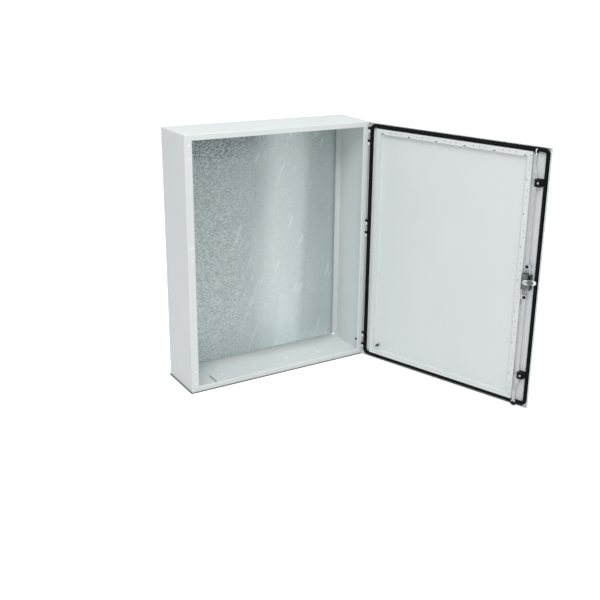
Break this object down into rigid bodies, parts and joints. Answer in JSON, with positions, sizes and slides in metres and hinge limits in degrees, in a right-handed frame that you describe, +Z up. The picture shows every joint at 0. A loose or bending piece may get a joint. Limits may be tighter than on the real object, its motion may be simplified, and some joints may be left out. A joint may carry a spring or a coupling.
{
  "type": "electrical enclosure",
  "caption": "Wall-mounting sheet-steel electrical enclosure with a hinged sealed door, a perforated door frame, a galvanised mounting plate and a three-point rod lock.",
  "frame": {"origin": "middle of the body's base, under the middle of its depth", "axes": "+Z up, +Y to the back that goes against the wall, +X to the hinge side"},
  "size_m": [1.0429, 0.9723, 1],
  "materials": {
    "paint": "fine-textured light grey powder coat",
    "galvanised": "hot-dip galvanised, spangled",
    "bright_zinc": "bright zinc plate",
    "die_cast": "as cast",
    "steel": "plain turned",
    "seal": "matt foamed skin",
    "black_metal": "satin black",
    "black_plastic": "fine moulded grain",
    "white_plastic": "smooth"
  },
  "bodies": {
    "enclosure": {"body_shell": "paint", "rear_panel": "paint", "mounting_plate": "galvanised", "plate_studs": "steel", "plate_nuts": "steel", "gland_plate": "paint", "gland_seal": "seal", "gland_screws": "bright_zinc", "hinge_brackets": "black_metal", "hinge_screws": "bright_zinc", "flange_plugs": "white_plastic", "body_earth_stud": "black_metal", "body_earth_nut": "black_metal"},
    "door": {"door_panel": "paint", "door_seal": "seal", "strip_hinge_side": "paint", "strip_lock_side": "paint", "strip_top": "paint", "strip_bottom": "paint", "door_hinge_lugs": "bright_zinc", "hinge_pins": "bright_zinc", "door_earth_stud": "steel", "door_earth_nut": "steel", "lock_escutcheon": "black_plastic", "lock_case": "die_cast", "case_screws": "bright_zinc", "lock_cover": "die_cast", "cover_screws": "steel", "upper_rod_guide": "black_plastic", "lower_rod_guide": "black_plastic", "guide_screws": "steel", "cam_stop": "black_plastic"},
    "lock": {"lock_spindle": "die_cast", "lock_cam": "bright_zinc", "cam_screw": "steel"},
    "upper_bolt": {"upper_rack": "steel", "upper_rod": "steel", "upper_rivet": "black_metal", "upper_axle": "steel"},
    "lower_bolt": {"lower_rack": "steel", "lower_rod": "steel", "lower_rivet": "black_metal", "lower_axle": "steel"},
    "upper_wheel": {"upper_roller": "black_plastic"},
    "lower_wheel": {"lower_roller": "black_plastic"}
  },
  "joints": [
    {"name": "door_hinge", "type": "hinge", "parent": "enclosure", "child": "door", "pos_m": [0.3926, -0.113, 0.5], "axis": [0, 0, 1], "range_deg": [-108, 12]},
    {"name": "lock_turn", "type": "hinge", "parent": "door", "child": "lock", "pos_m": [0.60036, -0.82684, 0.5], "axis": [0.9511, 0.309, 0], "range_deg": [0, 90]},
    {"name": "upper_slide", "type": "slide", "parent": "door", "child": "upper_bolt", "axis": [0, 0, -1], "range_m": [0, 0.0157]},
    {"name": "lower_slide", "type": "slide", "parent": "door", "child": "lower_bolt", "axis": [0, 0, 1], "range_m": [0, 0.0158]},
    {"name": "upper_roller_turn", "type": "hinge", "parent": "upper_bolt", "child": "upper_wheel", "pos_m": [0.60036, -0.82684, 0.98421], "axis": [-0.309, 0.9511, 0], "continuous": true},
    {"name": "lower_roller_turn", "type": "hinge", "parent": "lower_bolt", "child": "lower_wheel", "pos_m": [0.60036, -0.82684, 0.01579], "axis": [-0.309, 0.9511, 0], "continuous": true}
  ],
  "couplings": [
    {"joint": "lock_turn", "follows": "upper_slide", "rad_per_m": 100},
    {"joint": "lower_slide", "follows": "upper_slide", "ratio": 1}
  ]
}
